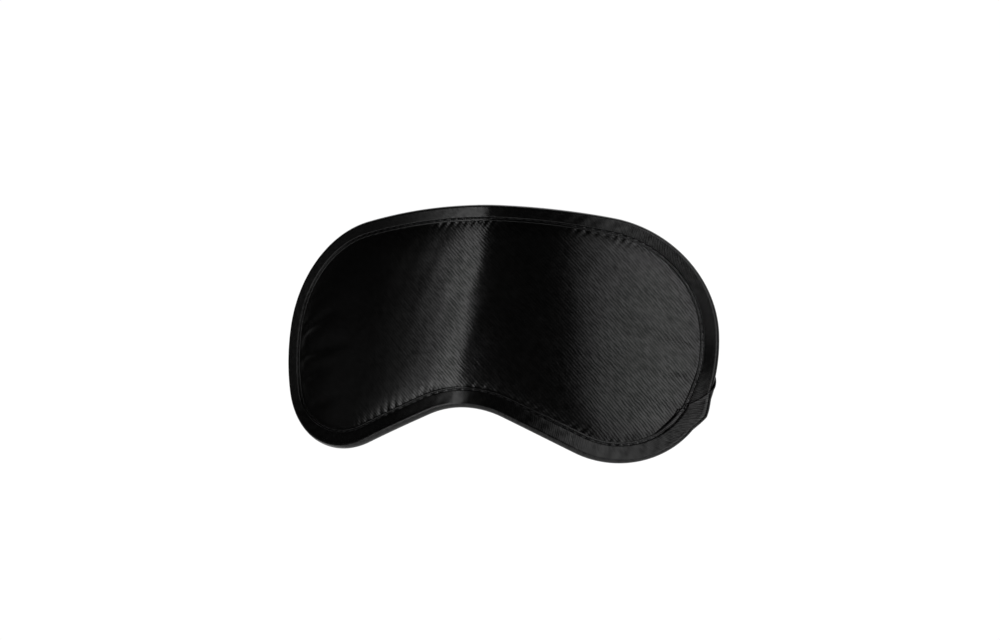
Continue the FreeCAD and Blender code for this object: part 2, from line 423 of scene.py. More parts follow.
@dataclass(frozen=True)
class Finish:
    """Finish of a piece: a material whose pattern nodes feed one Principled BSDF."""

    name: str

    def surface(self, tree: bpy.types.NodeTree) -> dict[str, object]:
        """Add the pattern nodes.

        Args:
            tree: node tree of the material.

        Returns:
            Shader input name to a value or to an output socket.
        """
        raise NotImplementedError

    def material(self) -> bpy.types.Material:
        """Build the material.

        Returns:
            The material.
        """
        material = bpy.data.materials.new(self.name)
        material.use_nodes = True
        tree = material.node_tree
        tree.nodes.clear()
        shader = add(tree, "ShaderNodeBsdfPrincipled", self.surface(tree))
        add(tree, "ShaderNodeOutputMaterial", {"Surface": shader.outputs["BSDF"]})
        return material


@dataclass(frozen=True)
class SatinFinish(Finish):
    """Black polyester satin: long floats of bright filament give a gloss that is soft across them."""

    name: str = "polyester_satin"
    dark: str = "#000000"
    light: str = "#040404"
    dull_thread: str = "#979797"
    bright_thread: str = "#ffffff"
    specular: float = 0.74
    dullest: float = 0.30
    glossiest: float = 0.19
    anisotropy: float = 0.6
    across_grain: float = 0.25
    thread_pitch: float = 1.05 * MM  # real floats are finer; drawn this coarse so that the grain shows
    slub_stretch: float = 0.3
    twill_share: float = 0.35
    grain_angle: float = -45.0
    grain_depth: float = 0.05 * MM
    cloud_scale: float = 60.0  # patches of even gloss about 17 mm wide

    def surface(self, tree: bpy.types.NodeTree) -> dict[str, object]:
        """Add slubbed twill threads, each darker or brighter than the next, and cloudy gloss.

        Args:
            tree: node tree of the material.

        Returns:
            Shader input name to a value or to an output socket.
        """
        cloth = add(tree, "ShaderNodeUVMap", uv_map="cloth").outputs["UV"]
        turn = (0, 0, math.radians(self.grain_angle))
        grain = add(tree, "ShaderNodeMapping", {"Vector": cloth, "Rotation": turn}).outputs[0]
        slub_scale = (1 / self.thread_pitch, self.slub_stretch / self.thread_pitch, 1)
        slub_place = add(tree, "ShaderNodeMapping", {"Vector": grain, "Scale": slub_scale})
        slub = add(
            tree,
            "ShaderNodeTexNoise",
            {"Vector": slub_place.outputs[0], "Scale": 1.0, "Detail": 1.0},
        )
        twill = add(
            tree,
            "ShaderNodeTexWave",
            {"Vector": grain, "Scale": BAND / self.thread_pitch, "Distortion": 2.4, "Detail": 2.0},
        )
        weave = add(
            tree,
            "ShaderNodeMix",
            {"Factor": self.twill_share, "A": slub.outputs["Fac"], "B": twill.outputs["Fac"]},
            data_type="FLOAT",
        ).outputs[0]
        # Most of the weave lies near its middle value, so that stretch is spread over dark to light.
        thread = add(tree, "ShaderNodeMapRange", {"Value": weave, "From Min": 0.33, "From Max": 0.67})
        tones = {}
        for use, low, high in (
            ("Base Color", self.dark, self.light),
            ("Specular Tint", self.dull_thread, self.bright_thread),
        ):
            tone = add(
                tree,
                "ShaderNodeMix",
                {"Factor": thread.outputs[0], "A": linear(low), "B": linear(high)},
                data_type="RGBA",
            )
            tones[use] = tone.outputs["Result"]
        cloud = add(
            tree, "ShaderNodeTexNoise", {"Vector": cloth, "Scale": self.cloud_scale, "Detail": 3.0}
        )
        gloss = add(
            tree,
            "ShaderNodeMapRange",
            {"Value": cloud.outputs["Fac"], "To Min": self.glossiest, "To Max": self.dullest},
        )
        bump = add(
            tree, "ShaderNodeBump", {"Height": weave, "Distance": self.grain_depth, "Strength": 1.0}
        )
        floats = add(tree, "ShaderNodeTangent", direction_type="UV_MAP", uv_map="cloth")
        return tones | {
            "Roughness": gloss.outputs["Result"],
            "Normal": bump.outputs["Normal"],
            "Anisotropic": self.anisotropy,
            "Anisotropic Rotation": self.across_grain,
            "Specular IOR Level": self.specular,
            "Tangent": floats.outputs["Tangent"],
        }


@dataclass(frozen=True)
class LiningFinish(Finish):
    """Matt black woven lining: a plain weave of fine staple yarn, with no gloss."""

    name: str = "woven_lining"
    dark: str = "#161617"
    light: str = "#29292b"
    roughness: float = 0.85
    fuzz: float = 0.15
    yarn_pitch: float = 0.6 * MM  # coarser than the real yarn, so that the weave shows
    fuzz_scale: float = 900.0  # tufts of fibre about 1 mm wide
    depth: float = 0.05 * MM

    def surface(self, tree: bpy.types.NodeTree) -> dict[str, object]:
        """Add warp and weft with a fuzz of fibre ends over them.

        Args:
            tree: node tree of the material.

        Returns:
            Shader input name to a value or to an output socket.
        """
        cloth = add(tree, "ShaderNodeUVMap", uv_map="cloth").outputs["UV"]
        yarn = {"Vector": cloth, "Scale": BAND / self.yarn_pitch}
        warp = add(tree, "ShaderNodeTexWave", yarn, bands_direction="X").outputs["Fac"]
        weft = add(tree, "ShaderNodeTexWave", yarn, bands_direction="Y").outputs["Fac"]
        weave = add(tree, "ShaderNodeMath", {0: warp, 1: weft}, operation="MULTIPLY")
        tufts = {"Vector": cloth, "Scale": self.fuzz_scale, "Detail": 2.0}
        fuzz = add(tree, "ShaderNodeTexNoise", tufts).outputs["Fac"]
        height = add(tree, "ShaderNodeMath", {0: weave.outputs[0], 1: fuzz}, operation="ADD")
        tone = add(
            tree,
            "ShaderNodeMix",
            {"Factor": fuzz, "A": linear(self.dark), "B": linear(self.light)},
            data_type="RGBA",
        )
        bump = add(tree, "ShaderNodeBump", {"Height": height.outputs[0], "Distance": self.depth})
        return {
            "Base Color": tone.outputs["Result"],
            "Normal": bump.outputs["Normal"],
            "Roughness": self.roughness,
            "Sheen Weight": self.fuzz,
        }


@dataclass(frozen=True)
class YarnFinish(Finish):
    """Spun or braided black yarn, seen up close: fine twist lines over a dull surface."""

    dark: str = "#0d0d0e"
    light: str = "#222224"
    roughness: float = 0.6
    twist_pitch: float = 0.35 * MM
    depth: float = 0.04 * MM

    def surface(self, tree: bpy.types.NodeTree) -> dict[str, object]:
        """Add slanting lines of twist.

        Args:
            tree: node tree of the material.

        Returns:
            Shader input name to a value or to an output socket.
        """
        place = add(tree, "ShaderNodeTexCoord").outputs["Object"]
        twist = add(
            tree,
            "ShaderNodeTexWave",
            {"Vector": place, "Scale": BAND / self.twist_pitch, "Distortion": 1.5},
            bands_direction="DIAGONAL",
        ).outputs["Fac"]
        tone = add(
            tree,
            "ShaderNodeMix",
            {"Factor": twist, "A": linear(self.dark), "B": linear(self.light)},
            data_type="RGBA",
        )
        bump = add(tree, "ShaderNodeBump", {"Height": twist, "Distance": self.depth})
        return {
            "Base Color": tone.outputs["Result"],
            "Normal": bump.outputs["Normal"],
            "Roughness": self.roughness,
        }


@dataclass(frozen=True)
class PaintFinish(Finish):
    """Plain matt paint."""

    name: str = "painted_floor"
    colour: str = "#e9e9e9"
    roughness: float = 0.8

    def surface(self, tree: bpy.types.NodeTree) -> dict[str, object]:
        """Even colour with no pattern."""
        return {"Base Color": linear(self.colour), "Roughness": self.roughness}


# ---------------------------------------------------------------- layers of cloth and padding


@dataclass(frozen=True)
class Crease:
    """Valley pressed into the cloth, from a deep start to a faint end, seen from the front."""

    start: tuple[float, float]
    end: tuple[float, float]
    width: float
    depth: float
    shoulder: float = 0.35

    def rise(self, x: np.ndarray, z: np.ndarray) -> np.ndarray:
        """How far the cloth drops, as a negative rise, at each place.

        Args:
            x: places across.
            z: heights.

        Returns:
            Rise of the cloth at each place, negative in the valley.
        """
        start, end = np.array(self.start), np.array(self.end)
        along = end - start
        length = np.linalg.norm(along)
        along /= length
        dx, dz = x - start[0], z - start[1]
        reach = (dx * along[0] + dz * along[1]) / length
        off = dx * -along[1] + dz * along[0]
        fade = smooth(-0.25, 0.05, reach) * (1 - smooth(0.2, 1.05, reach))
        width = self.width * (0.75 + 0.6 * np.clip(reach, 0, 1))
        # The cloth pushed out of the valley stands up a little on both sides of it.
        valley = hump(off, 0, width) - self.shoulder * hump(off, 0, 2 * width)
        return -self.depth * fade * valley


PULL_CREASES: tuple[Crease, ...] = (
    Crease((-86 * MM, 14 * MM), (-68 * MM, 20 * MM), 1.4 * MM, 0.36 * MM),
    Crease((-87 * MM, 1 * MM), (-58 * MM, 12 * MM), 2.8 * MM, 0.95 * MM),
    Crease((-87 * MM, -8.5 * MM), (-50 * MM, -3 * MM), 2.7 * MM, 1.0 * MM),
    Crease((-87 * MM, -18 * MM), (-60 * MM, -14 * MM), 2.7 * MM, 0.95 * MM),
    Crease((-80 * MM, -31 * MM), (-46 * MM, -24 * MM), 2.8 * MM, 0.8 * MM),
    Crease((89 * MM, 8 * MM), (54 * MM, 17 * MM), 3.2 * MM, 0.9 * MM),
    Crease((89 * MM, -3 * MM), (50 * MM, 2 * MM), 3.0 * MM, 1.0 * MM),
    Crease((88 * MM, -13 * MM), (50 * MM, -17 * MM), 3.4 * MM, 1.0 * MM),
    Crease((82 * MM, -26 * MM), (48 * MM, -27 * MM), 4.0 * MM, 0.6 * MM),
)


CREASED_FROM = (6.5 * MM, 11 * MM)


def crease_rise(x: np.ndarray, z: np.ndarray, inset: np.ndarray) -> np.ndarray:
    """Drop of the front where the strap pulls it, none at the seam itself."""
    return sum(crease.rise(x, z) for crease in PULL_CREASES) * smooth(*CREASED_FROM, inset)


@dataclass
class Layers:
    """Heights of the cloth over the middle surface, from the seam in to the crown."""

    seam: float = 6.6 * MM
    front_seam: float = 0.65 * MM
    front_crown: float = 2.5 * MM
    rear_seam: float = -1.0 * MM
    rear_crown: float = -2.4 * MM
    swell: float = 9.0 * MM

    def front(self, inset: np.ndarray) -> np.ndarray:
        """Height of the front panel."""
        return self._over(inset, self.front_seam, self.front_crown)

    def rear(self, inset: np.ndarray) -> np.ndarray:
        """Height of the lining, negative."""
        return self._over(inset, self.rear_seam, self.rear_crown)

    def _over(self, inset: np.ndarray, seam: float, crown: float) -> np.ndarray:
        """Rise from the seam height to the crown height."""
        return seam + (crown - seam) * (1 - np.exp(-np.maximum(inset - self.seam, 0) / self.swell))


@dataclass
class ClothGrid:
    """Even grid of places over the mask, trimmed to a line inside its edge."""

    form: MaskForm
    spacing: float
    trim: float
    widening: tuple[float, float] = (12 * MM, 26 * MM)

    def __post_init__(self) -> None:
        """Lay out the grid, trim it and pull its border onto the trim line."""
        edge = self.form.edge
        reach = self.form.cloth_run(np.array([edge[:, 0].max()]))[0]
        across = int(math.ceil(reach / self.spacing))
        low, high = edge[:, 1].min(), edge[:, 1].max()
        up = int(math.ceil((high - low) / self.spacing))
        run = np.arange(-across, across + 1) * self.spacing
        height = low + np.arange(up + 1) * self.spacing
        run_grid, z_grid = [a.ravel() for a in np.meshgrid(run, height, indexing="ij")]
        x = self.form.at_run(run_grid)
        inset, nearest = self.form.inset(x, z_grid)
        # Places up to about half a step short of the trim line stay, and are moved in to it below.
        kept = inset > self.trim - 0.55 * self.spacing
        faces = grid_faces(len(run), len(height))
        faces = faces[kept[faces].all(axis=1)]
        used = np.unique(faces)
        number = np.full(len(x), -1)
        number[used] = np.arange(len(used))
        self.faces = number[faces]
        x, z, inset, nearest = x[used], z_grid[used], inset[used], nearest[used]
        short = np.maximum(self.trim - inset, 0)
        x += self.form.edge_in[nearest, 0] * short
        z += self.form.edge_in[nearest, 1] * short
        self.x, self.z, self.inset = x, z, inset + short
        self.cell, self.cells, self.corner = used, (len(run), len(height)), (run[0], height[0])
        self.run = self.form.cloth_run(x)
        self.edge_run = nearest * self.form.outline.spacing
        wider = self.form.extra_tape[nearest] * (1 - smooth(*self.widening, self.inset))
        self.sewn = self.inset - wider

    def flat_size(self) -> tuple[float, float]:
        """Width and height of the cut cloth, laid flat."""
        return float(np.ptp(self.run)), float(np.ptp(self.z))


def across_fold(piece: bpy.types.Object, node: str) -> None:
    """Bake a piece that bends about the fold in place, and hide the frame node of each half that it
    stands in for.

    Args:
        piece: the finished piece.
        node: name of its two frame nodes, without left or right.
    """
    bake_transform(piece)
    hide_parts(f"{node}_left", f"{node}_right")


@dataclass
class Settling:
    """Cloth simulation of the front: held at the seam, a little slack, pushed out by the padding."""

    form: MaskForm
    layers: Layers
    spacing: float = 2.2 * MM
    frames: int = 20
    pressure: float = 3.0
    slack: float = 0.002
    most_out: float = 0.35 * MM
    most_in: float = 0.1 * MM
    sewn_within: float = 6.4 * MM
    free_from: tuple[float, float] = (6.0 * MM, 9.0 * MM)

    def run(self) -> Callable[[np.ndarray, np.ndarray], np.ndarray]:
        """Let the cloth settle.

        Returns:
            Function of run and height that gives how far the settled cloth stands from its first shape.
        """
        grid = ClothGrid(self.form, self.spacing, CLOTH_TRIM)
        rise = self.layers.front(grid.sewn) + crease_rise(grid.x, grid.z, grid.inset)
        start = self.form.to_space(grid.x, grid.z, rise)
        out = self.form.to_space(grid.x, grid.z, rise + MM) - start
        out /= np.linalg.norm(out, axis=1)[:, None]
        moved = np.sum((self._simulate(grid, start) - start) * out, axis=1)
        moved = np.where(moved > 0, self.most_out * np.tanh(moved / self.most_out), moved)
        moved = np.where(moved < 0, self.most_in * np.tanh(moved / self.most_in), moved)
        LOG.info("cloth settled %.2f to %.2f mm outwards", moved.min() / MM, moved.max() / MM)
        field_of_cells = np.zeros(grid.cells[0] * grid.cells[1])
        # The bridge keeps the crease it was given, so the cloth settles only on the two lobes.
        at_crease = hump(grid.x, 1 * MM, 14 * MM) * (1 - smooth(40 * MM, 50 * MM, np.abs(grid.x)))
        field_of_cells[grid.cell] = moved * smooth(*self.free_from, grid.inset) * (1 - at_crease)
        field_of_cells = field_of_cells.reshape(grid.cells)
        for _ in range(2):
            wide = np.pad(field_of_cells, 1)
            beside = wide[:-2, 1:-1] + wide[2:, 1:-1] + wide[1:-1, :-2] + wide[1:-1, 2:]
            field_of_cells = beside / 8 + field_of_cells / 2
        return lambda run, z: self._between_cells(field_of_cells, grid.corner, run, z)

    def _simulate(self, grid: ClothGrid, start: np.ndarray) -> np.ndarray:
        """Points of the cloth after the last frame.

        Args:
            grid: places of the vertices, and the faces.
            start: first place of each vertex.

        Returns:
            Place of each vertex after the last frame.
        """
        cloth = mesh_object("settling", start, grid.faces)
        held = cloth.vertex_groups.new(name="seam")
        for index, inset in enumerate(grid.inset):
            held.add([index], 1.0 if inset < self.sewn_within else 0.0, "REPLACE")
        modifier = cloth.modifiers.new("settle", "CLOTH")
        modifier.point_cache.frame_start, modifier.point_cache.frame_end = 1, self.frames
        rules = modifier.settings
        rules.vertex_group_mass = "seam"
        rules.quality = 8
        rules.mass = 0.12
        rules.tension_stiffness = rules.compression_stiffness = 12.0
        rules.shear_stiffness = 4.0
        rules.bending_stiffness = 0.12
        rules.shrink_min = rules.shrink_max = -self.slack
        rules.use_pressure = True
        rules.uniform_pressure_force = self.pressure
        rules.effector_weights.gravity = 0.0
        scene = bpy.context.scene
        for frame in range(1, self.frames + 1):
            scene.frame_set(frame)
        graph = bpy.context.evaluated_depsgraph_get()
        result = cloth.evaluated_get(graph).data
        points = np.empty(len(result.vertices) * 3)
        result.vertices.foreach_get("co", points)
        scene.frame_set(1)
        bpy.data.objects.remove(cloth)
        return points.reshape(-1, 3)

    def _between_cells(
        self, cells: np.ndarray, corner: tuple[float, float], run: np.ndarray, z: np.ndarray
    ) -> np.ndarray:
        """Smooth value between the cells of a coarse grid, by cubic splines both ways.

        Args:
            cells: value of each cell.
            corner: run and height of the first cell.
            run: distances along the bent cloth.
            z: heights.

        Returns:
            Value at each place.
        """
        value = np.zeros(len(run))
        first, row = self._spline((run - corner[0]) / self.spacing)
        second, column = self._spline((z - corner[1]) / self.spacing)
        for i in range(4):
            for j in range(4):
                a = np.clip(row + i - 1, 0, cells.shape[0] - 1)
                b = np.clip(column + j - 1, 0, cells.shape[1] - 1)
                value += first[i] * second[j] * cells[a, b]
        return value

    @staticmethod
    def _spline(place: np.ndarray) -> tuple[tuple[np.ndarray, ...], np.ndarray]:
        """Weights of the four nearest cells, and the index of the second of them.

        Args:
            place: places, counted in cells.

        Returns:
            Weights of the four nearest cells, and the index of the second of them.
        """
        cell = np.floor(place).astype(int)
        t = place - cell
        weights = ((1 - t) ** 3, 3 * t**3 - 6 * t**2 + 4, 3 * (t + t**2 - t**3) + 1, t**3)
        return tuple(w / 6 for w in weights), cell


@dataclass
class Cloth:
    """Sheet of cloth stretched over the padding and sewn in at the edge."""

    form: MaskForm
    layers: Layers
    finish: Finish

    def sew(
        self, name: str, slot: str, grid: ClothGrid, rise: np.ndarray, faces: np.ndarray
    ) -> bpy.types.Object:
        """Make the sheet from its heights.

        Args:
            name: name of the piece and of its two frame nodes.
            slot: not used.
            grid: places of its vertices.
            rise: height of its outer face at each place.
            faces: quads whose outer face is the side that shows.

        Returns:
            The finished piece.
        """
        piece = mesh_object(name, self.form.to_space(grid.x, grid.z, rise), faces)
        lay_uv(piece, np.stack([grid.run, grid.z], axis=1))
        wall = piece.modifiers.new("cloth", "SOLIDIFY")
        wall.thickness, wall.offset = CLOTH_THICKNESS, -1
        piece.data.materials.append(self.finish.material())
        across_fold(piece, name)
        grid.flat_size()
        return piece


@dataclass
class FrontPanel(Cloth):
    """Satin panel over the front, eased into the binding and drawn in at the sides by the strap."""

    settled: Callable[[np.ndarray, np.ndarray], np.ndarray]
    spacing: float = 0.62 * MM
    pucker_depth: float = 0.24 * MM
    pucker_lean: float = 0.5
    pucker_least: float = 0.22
    top_gathers: tuple[tuple[float, float, float], ...] = (
        (1.0, -20 * MM, 21 * MM),
        (0.45, 42 * MM, 18 * MM),
    )
    lower_gathers: tuple[tuple[float, float, float], ...] = (
        (1.0, -14 * MM, 24 * MM),
        (0.8, 50 * MM, 14 * MM),
    )
    loose_depth: float = 0.055 * MM
    bias_depth: float = 0.02 * MM
    loose_from: float = 14.0 * MM

    def pucker_strength(self, x: np.ndarray, z: np.ndarray) -> np.ndarray:
        """How strongly the seam gathers the cloth.

        Args:
            x: places across.
            z: heights.

        Returns:
            Strength at each place, from 0 to 1.
        """
        top, lower = (
            sum(share * hump(x, centre, width) for share, centre, width in gathers)
            for gathers in (self.top_gathers, self.lower_gathers)
        )
        return self.pucker_least + (1 - self.pucker_least) * np.where(z > 0, top, lower)

    def pucker(self, grid: ClothGrid) -> np.ndarray:
        """Small ridges between the stitches, dying out within a few millimetres of the seam.

        Args:
            grid: places of the vertices.

        Returns:
            Rise at each place.
        """
        depth_in = np.maximum(grid.sewn - self.layers.seam, 0)
        run = grid.edge_run + self.pucker_lean * depth_in
        phase, wave = self.form.stitch_phase(run), self.form.wave
        uneven = 0.6 + 0.25 * np.sin(wave(run, 52 * MM) + 1.0)
        uneven += 0.25 * np.sin(wave(run, 18 * MM) + 0.4)
        reach = (0.9 + 1.1 * uneven) * MM
        ridge = np.cos(phase) - 0.35 * np.cos(2 * phase)
        strength = self.pucker_strength(grid.x, grid.z)
        fade = np.exp(-((depth_in / reach) ** 1.3))
        return self.pucker_depth * strength * uneven * ridge * fade

    def slack(self, grid: ClothGrid) -> np.ndarray:
        """Broad, slight waves where the cloth lies loose over the padding, and pulls along its bias.

        Args:
            grid: places of the vertices.

        Returns:
            Rise at each place.
        """
        # The waves are set out in millimetres, none a multiple of another, so that they never repeat.
        x, z = grid.run / MM, grid.z / MM
        loose = np.sin(x / 9.1 + 0.21 * z + 0.4) * np.sin(z / 12.7 - x / 31.0 + 1.3)
        loose += 0.7 * np.sin(x / 5.3 - z / 8.9) * np.sin(z / 6.1 + x / 23.0)
        bias = np.sin((0.88 * x - 0.47 * z) / 1.35 + 1.6 * np.sin(z / 17.0 + x / 40.0))
        bias = bias * (0.5 + 0.5 * np.sin(x / 13.0 + z / 29.0 + 2.0))
        inner = smooth(0, self.loose_from, grid.inset - self.layers.seam)
        return (self.loose_depth * loose + self.bias_depth * bias) * inner

    def build(self) -> bpy.types.Object:
        """Make the panel.

        Returns:
            The finished piece.
        """
        grid = ClothGrid(self.form, self.spacing, CLOTH_TRIM)
        rise = self.layers.front(grid.sewn) + self.pucker(grid) + self.slack(grid)
        rise += crease_rise(grid.x, grid.z, grid.inset) + self.settled(grid.run, grid.z)
        return self.sew("front_panel", "satin", grid, rise, grid.faces)


@dataclass
class Lining(Cloth):
    """Cloth on the face side, smooth over the padding."""

    spacing: float = 1.0 * MM
    gather_depth: float = 0.08 * MM
    gather_reach: float = 2.0 * MM
    loose_depth: float = 0.07 * MM
    loose_length: tuple[float, float] = (7.0 * MM, 9.0 * MM)
    loose_from: float = 10.0 * MM

    def build(self) -> bpy.types.Object:
        """Make the lining.

        Returns:
            The finished piece.
        """
        grid = ClothGrid(self.form, self.spacing, CLOTH_TRIM)
        depth_in = np.maximum(grid.inset - self.layers.seam, 0)
        gather = np.cos(2 * math.pi * grid.edge_run / STITCH_PITCH)
        gather = gather * np.exp(-depth_in / self.gather_reach)
        loose = np.sin(grid.run / self.loose_length[0]) * np.sin(grid.z / self.loose_length[1])
        rise = self.layers.rear(grid.inset) - self.gather_depth * gather
        rise -= self.loose_depth * loose * smooth(0, self.loose_from, depth_in)
        return self.sew("lining", "lining", grid, rise, grid.faces[:, ::-1])


@dataclass
class Padding:
    """Soft wadding between the two cloths, thin at the seam and crowned in the middle."""

    form: MaskForm
    layers: Layers
    finish: YarnFinish
    spacing: float = 2.0 * MM
    trim: float = 2.8 * MM
    clearance: float = 0.45 * MM

    def build(self) -> bpy.types.Object:
        """Make the pad as one closed crowned form.

        Returns:
            The finished piece.
        """
        grid = ClothGrid(self.form, self.spacing, self.trim)
        top = self.layers.front(grid.sewn) + crease_rise(grid.x, grid.z, grid.inset)
        front = self.form.to_space(grid.x, grid.z, top - self.clearance)
        rear = self.form.to_space(grid.x, grid.z, self.layers.rear(grid.inset) + self.clearance)
        count = len(front)
        edges = np.concatenate([grid.faces[:, [k, (k + 1) % 4]] for k in range(4)])
        # An edge that only one quad uses is on the border, where the two faces are joined.
        keys = np.sort(edges, axis=1)
        _, first, uses = np.unique(keys, axis=0, return_index=True, return_counts=True)
        rim = [(b, a, a + count, b + count) for a, b in edges[first[uses == 1]]]
        faces = [*map(tuple, grid.faces), *map(tuple, grid.faces[:, ::-1] + count), *rim]
        piece = mesh_object("padding", np.concatenate([front, rear]), faces)
        piece.data.materials.append(self.finish.material())
        across_fold(piece, "foam_pad")
        return piece


# ---------------------------------------------------------------- binding, seam and strap


@dataclass
class TapeSection:
    """Section of bias tape folded round the edge: places in from the edge and up from the middle."""

    front_leg: float = 6.4 * MM
    rear_leg: float = 4.9 * MM
    roll: float = 1.6 * MM
    rise: float = 2.1 * MM
    front_drop: float = 1.05 * MM
    rear_drop: float = 0.25 * MM
    lip: float = 0.25 * MM
    wall: float = 0.45 * MM
    groove_place: float = 5.6 * MM
    groove_width: float = 0.5 * MM
    groove_depth: float = 0.6 * MM
    groove_wall: tuple[float, ...] = (0.12 * MM, 0.03 * MM, -0.07 * MM)

    def profile(self) -> tuple[np.ndarray, np.ndarray]:
        """Outer face of the tape, from the front lip round the edge to the rear lip.

        Returns:
            Points (inset, rise), and the outward unit normal at each.
        """
        front = self._leg(self.front_leg, self.front_drop, 17)
        rear = self._leg(self.rear_leg, self.rear_drop, 7)[::-1] * (1, -1)
        turn = np.radians(np.linspace(84, -84, 15))
        roll = np.stack([self.roll * (1 - np.cos(turn)), self.rise * np.sin(turn)], axis=1)
        points = np.concatenate([front, roll, rear])
        return points, to_right(np.gradient(points, axis=0))

    def leg_height(self, inset: float | np.ndarray, length: float, drop: float) -> float | np.ndarray:
        """Height of a leg of this length and drop, without its groove, at a place in from the edge."""
        return self.rise - drop * (inset - self.roll) / (length - self.roll)

    def _leg(self, length: float, drop: float, count: int) -> np.ndarray:
        """One leg of the tape, from under its lip to the start of the roll.

        Args:
            length: how far the leg reaches in from the edge.
            drop: how far its lip lies below the roll.
            count: number of points before the groove is cut.

        Returns:
            Points (inset, rise) from under the lip to the start of the roll.
        """
        turn = np.radians(np.linspace(-100, 80, 8))
        centre = np.array([length, self.rise - drop - self.lip])
        lip = centre + self.lip * np.stack([np.cos(turn), np.sin(turn)], axis=1)
        inset = np.linspace(length - 0.2 * MM, self.roll, count)
        half, middle = self.groove_width / 2, self.groove_place
        banks = half + np.array(self.groove_wall)
        inset = inset[np.abs(inset - middle) > banks[0]]
        inset = np.sort(np.concatenate([inset, middle - banks, middle + banks]))[::-1]
        height = self.leg_height(inset, length, drop)
        # Only the front leg drops to the stitches, and only it has their groove.
        if drop > self.rear_drop:
            depth = 1 - smooth(half - 0.06 * MM, half + 0.1 * MM, np.abs(inset - middle))
            height = height - self.groove_depth * depth
        return np.concatenate([lip, np.stack([inset, height], axis=1)])


@dataclass
class Binding:
    """Satin tape folded round the whole edge, its folded end lapped over it on the right lobe."""

    form: MaskForm
    section: TapeSection
    finish: SatinFinish
    pinch_depth: float = 0.12 * MM
    drag_depth: float = 0.05 * MM
    swell_depth: float = 0.08 * MM
    lip_waver: float = 0.10 * MM
    edge_waver: float = 0.08 * MM
    pull_depth: float = 0.3 * MM
    pull_reach: float = 7.0 * MM
    strap_lift: float = 0.9 * MM
    thread_lift: float = 0.04 * MM
    lap_height: float = -12.5 * MM
    lap_slope: float = 2.0
    lap_length: float = 27.0 * MM
    lap_rise: float = 0.62 * MM
    lap_sink: float = 0.12 * MM
    lap_fold: float = 0.2 * MM
    lap_corner: float = 1.2 * MM
    lap_spread: float = 0.25 * MM

    @property
    def strap_pull(self) -> float:
        """Place along the edge where the right strap end pulls on the tape."""
        right = self.form.edge[: len(self.form.edge) // 2]
        return float(np.argmin(np.abs(right[:, 1] - STRAP_HEIGHT))) * self.form.outline.spacing

    def _waver(self, run: np.ndarray, points: np.ndarray) -> tuple[np.ndarray, np.ndarray]:
        """Unevenness of the sewn tape.

        Args:
            run: distance along the edge, one row per section.
            points: section points (inset, rise).

        Returns:
            Change of inset and of rise, one row per section.
        """
        run = run[:, None]
        inset, rise = points[None, :, 0], points[None, :, 1]
        phase, wave, seam = self.form.stitch_phase(run), self.form.wave, self.section.groove_place
        uneven = 0.6 + 0.4 * np.sin(wave(run, 52 * MM) + 1.0)
        pinch = -self.pinch_depth * uneven * (0.5 + 0.5 * np.cos(phase)) * hump(inset, seam, 0.5 * MM)
        drag = np.sin(wave(run + 1.1 * inset, 6.3 * MM) + np.sin(wave(run, 120 * MM)))
        drag = self.drag_depth * drag * hump(inset, 3.2 * MM, 1.8 * MM)
        drag = drag * (0.5 + 0.5 * np.sin(wave(run, 145 * MM)))
        swell = self.swell_depth * np.sin(wave(run, 94 * MM)) * smooth(0, 2 * MM, inset)
        pull = self.pull_depth * hump(run, self.strap_pull, self.pull_reach)
        swell = swell - pull * smooth(1.5 * MM, 6 * MM, inset)
        lip_in = self.lip_waver * uneven * np.cos(phase) * self._past_seam(inset)
        edge_in = self.edge_waver * np.sin(wave(run, 69 * MM))
        return lip_in + edge_in, np.sign(rise) * (pinch + drag + swell)

    def _past_seam(self, inset: np.ndarray) -> np.ndarray:
        """Share of a change that the tape takes past its stitches: none at the seam, all at the lip."""
        return smooth(0.3 * MM, 1.1 * MM, inset - self.section.groove_place)

    def _place(self, index: np.ndarray, inset: np.ndarray, rise: np.ndarray) -> np.ndarray:
        """Points in the frame, for edge indices and section places of the same shape."""
        form = self.form
        return self._lift(form.edge[index], form.edge_in[index], form.extra_tape[index], inset, rise)

    def _between(self, run: np.ndarray, inset: np.ndarray, rise: np.ndarray) -> np.ndarray:
        """Points in the frame at any run along the edge, between its points.

        Args:
            run: distance along the edge.
            inset: place in from the edge.
            rise: height over the middle surface.

        Returns:
            One row of X, Y, Z per place.
        """
        form = self.form
        known = np.arange(len(form.edge)) * form.outline.spacing
        edge, inward = at_distance(run, known, form.edge), at_distance(run, known, form.edge_in)
        return self._lift(edge, inward, np.interp(run, known, form.extra_tape), inset, rise)

    def _lift(
        self,
        edge: np.ndarray,
        inward: np.ndarray,
        extra: np.ndarray,
        inset: np.ndarray,
        rise: np.ndarray,
    ) -> np.ndarray:
        """Take section places to the frame, with the front leg moved in where the tape is sewn wider.

        Args:
            edge: edge point of each place.
            inward: inward unit normal there.
            extra: how much wider the tape is there.
            inset: place in from the edge.
            rise: height over the middle surface.

        Returns:
            One row of X, Y, Z per place.
        """
        inset = inset + extra * smooth(self.section.roll, self.section.front_leg, inset) * (rise > 0)
        x = edge[..., 0] + inset * inward[..., 0]
        z = edge[..., 1] + inset * inward[..., 1]
        return self.form.to_space(x, z, rise)

    def _strap_bulge(self, index: np.ndarray, rise: np.ndarray) -> np.ndarray:
        """Rear leg lifted where the strap ends pass under it.

        Args:
            index: edge point of each section.
            rise: height of each section point.

        Returns:
            Change of rise of each section point.
        """
        height = self.form.edge[index, 1][:, None] - STRAP_HEIGHT
        over = 1 - smooth(STRAP_WIDTH / 2, STRAP_WIDTH / 2 + 2.5 * MM, np.abs(height))
        side = smooth(70 * MM, 80 * MM, np.abs(self.form.edge[index, 0]))[:, None]
        return -self.strap_lift * over * side * smooth(0.6 * MM, 1.8 * MM, -rise)

